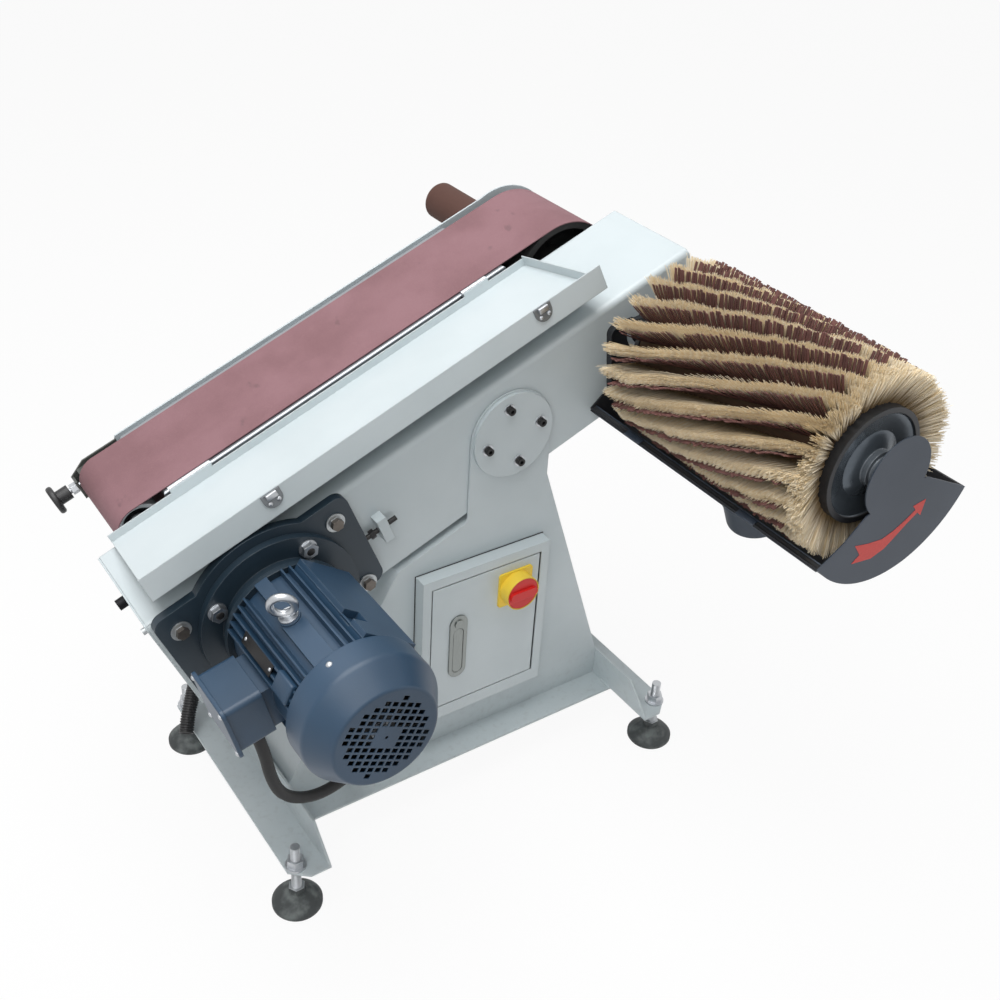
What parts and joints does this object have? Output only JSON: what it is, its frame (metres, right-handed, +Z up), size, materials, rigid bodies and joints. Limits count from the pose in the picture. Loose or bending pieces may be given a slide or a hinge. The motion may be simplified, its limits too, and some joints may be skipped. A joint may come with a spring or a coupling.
{
  "type": "belt and brush sanding machine",
  "caption": "Tilting-arm sanding machine: flat belt with hinged cover, helical bristle and abrasive brush over a dust hood, sanding sleeve, flange motor, on a sheet pedestal.",
  "frame": {"origin": "floor, under the middle of the machine's bounding box without its cords", "axes": "+X along the arm to the brush end, +Y from the brush to the sanding sleeve, +Z up"},
  "size_m": [1.0476, 1.106, 0.935],
  "materials": {
    "grey_paint": "light grey semi-gloss enamel",
    "zinc": "zinc plated",
    "foot_black": "black moulded pad on a zinc stem",
    "black_screws": "black oxide",
    "contactor_plastic": "moulded",
    "gland_black": "black nylon",
    "latch_metal": "satin chrome",
    "switch_yellow": "yellow",
    "switch_red": "red",
    "motor_paint": "dark slate enamel",
    "motor_alloy": "die cast, dark slate enamel",
    "steel": "machined",
    "cast_iron": "machined casting",
    "wheel_alloy": "black coated casting",
    "belt_rubber": "V-belt",
    "abrasive_cloth": "red-brown abrasive cloth",
    "sleeve_abrasive": "dark brown abrasive on a rubber drum",
    "bristle": "natural fibre",
    "strip_abrasive": "slit abrasive cloth",
    "hood_paint": "dark grey enamel",
    "knob_black": "black moulding on a zinc stem",
    "lead_rubber": "black sheath",
    "conduit_black": "black corrugated conduit",
    "fan_plastic": "moulded fan"
  },
  "bodies": {
    "stand": {"pedestal_shell": "grey_paint", "foot_angles": "grey_paint", "levelling_nuts": "zinc", "control_box": "grey_paint", "contactor": "contactor_plastic", "pivot_flanges": "grey_paint", "pivot_screws": "black_screws", "pedestal_glands": "gland_black", "supply_conduit": "conduit_black"},
    "front_left_foot": {"front_left_foot": "foot_black"},
    "front_right_foot": {"front_right_foot": "foot_black"},
    "back_left_foot": {"back_left_foot": "foot_black"},
    "back_right_foot": {"back_right_foot": "foot_black"},
    "door": {"box_door": "grey_paint", "door_hinges": "zinc", "latch_housing": "latch_metal", "switch_base": "switch_yellow"},
    "latch_lever": {"latch_lever": "latch_metal"},
    "latch_button": {"latch_button": "latch_metal"},
    "switch_knob": {"switch_knob": "switch_red"},
    "arm": {"arm_shell": "grey_paint", "arm_end_cover": "grey_paint", "arm_screws": "zinc", "spindle_bearings": "cast_iron", "belt_frame": "grey_paint", "platen": "steel", "rear_guard": "grey_paint", "dust_hood": "hood_paint", "hood_end_plate": "hood_paint", "cover_hinge_leaves": "zinc", "drive_belt": "belt_rubber", "sanding_belt": "abrasive_cloth"},
    "motor": {"motor_plate": "motor_paint", "motor_end_shields": "motor_alloy", "motor_frame": "motor_alloy", "motor_stator": "steel", "fan_cover": "motor_paint", "terminal_box": "motor_alloy", "terminal_lid": "motor_alloy", "terminal_glands": "gland_black", "eye_bolt": "zinc", "flange_bolts": "zinc", "motor_lead": "lead_rubber"},
    "rotor": {"motor_rotor": "steel", "motor_fan": "fan_plastic", "motor_pulley": "cast_iron"},
    "jack": {"jack_screw": "zinc"},
    "spindle": {"spindle_shaft": "steel", "spindle_pulley": "cast_iron", "drive_wheel": "wheel_alloy", "sanding_sleeve": "sleeve_abrasive", "brush_flanges": "wheel_alloy", "brush_bristles": "bristle", "abrasive_strips": "strip_abrasive"},
    "idler_carrier": {"idler_block": "steel"},
    "idler": {"idler_roller": "steel"},
    "tension": {"tension_knob": "knob_black"},
    "cover": {"cover_tray": "grey_paint", "cover_hinges": "zinc", "latch_keepers": "latch_metal"}
  },
  "joints": [
    {"name": "front_left_foot_height", "type": "slide", "parent": "stand", "child": "front_left_foot", "axis": [0, 0, -1], "range_m": [-0.015, 0.02]},
    {"name": "front_right_foot_height", "type": "slide", "parent": "stand", "child": "front_right_foot", "axis": [0, 0, -1], "range_m": [-0.015, 0.02]},
    {"name": "back_left_foot_height", "type": "slide", "parent": "stand", "child": "back_left_foot", "axis": [0, 0, -1], "range_m": [-0.015, 0.02]},
    {"name": "back_right_foot_height", "type": "slide", "parent": "stand", "child": "back_right_foot", "axis": [0, 0, -1], "range_m": [-0.015, 0.02]},
    {"name": "door_hinge", "type": "hinge", "parent": "stand", "child": "door", "pos_m": [0.13505, -0.0795, 0.31], "axis": [0, 0, 1], "range_deg": [0, 110]},
    {"name": "latch_pull", "type": "hinge", "parent": "door", "child": "latch_lever", "pos_m": [-0.01795, -0.083, 0.26], "axis": [1, 0, 0], "range_deg": [0, 45]},
    {"name": "latch_press", "type": "slide", "parent": "door", "child": "latch_button", "axis": [0, 1, 0], "range_m": [0, 0.003], "stiffness_N_per_m": 800},
    {"name": "switch_turn", "type": "hinge", "parent": "door", "child": "switch_knob", "pos_m": [0.09005, -0.104, 0.387], "axis": [0, 1, 0], "range_deg": [0, 90]},
    {"name": "arm_tilt", "type": "hinge", "parent": "stand", "child": "arm", "pos_m": [0.08205, 0.04, 0.6667], "axis": [0, 1, 0], "range_deg": [0, 22.31], "deforming": ["motor_lead"]},
    {"name": "jack_turn", "type": "hinge", "parent": "arm", "child": "jack", "pos_m": [-0.15037, -0.0644, 0.57457], "axis": [0.9251, 0, 0.3796], "range_deg": [-1440, 1440]},
    {"name": "motor_slide", "type": "slide", "parent": "arm", "child": "motor", "axis": [0.9251, 0, 0.3796], "range_m": [-0.005, 0.005], "deforming": ["drive_belt"]},
    {"name": "rotor_spin", "type": "hinge", "parent": "motor", "child": "rotor", "pos_m": [-0.32185, 0.026, 0.49697], "axis": [0, 1, 0], "continuous": true},
    {"name": "spindle_spin", "type": "hinge", "parent": "arm", "child": "spindle", "pos_m": [0.33277, 0.026, 0.78958], "axis": [0, 1, 0], "continuous": true},
    {"name": "tension_turn", "type": "hinge", "parent": "arm", "child": "tension", "pos_m": [-0.4799, 0.336, 0.52151], "axis": [0.9251, 0, 0.3796], "range_deg": [-960, 1440]},
    {"name": "idler_slide", "type": "slide", "parent": "arm", "child": "idler_carrier", "axis": [-0.9251, 0, -0.3796], "range_m": [-0.004, 0.006], "deforming": ["sanding_belt"]},
    {"name": "idler_spin", "type": "hinge", "parent": "idler_carrier", "child": "idler", "pos_m": [-0.43334, 0.241, 0.53845], "axis": [0, 1, 0], "continuous": true},
    {"name": "cover_hinge", "type": "hinge", "parent": "arm", "child": "cover", "pos_m": [-0.13909, 0.144, 0.70513], "axis": [-0.9251, 0, -0.3796], "range_deg": [0, 169.7]}
  ],
  "couplings": [
    {"joint": "rotor_spin", "follows": "spindle_spin", "ratio": 1.25},
    {"joint": "idler_spin", "follows": "spindle_spin", "ratio": 2.508},
    {"joint": "jack_turn", "follows": "motor_slide", "rad_per_m": 5026.5},
    {"joint": "tension_turn", "follows": "idler_slide", "rad_per_m": 4188.7}
  ]
}
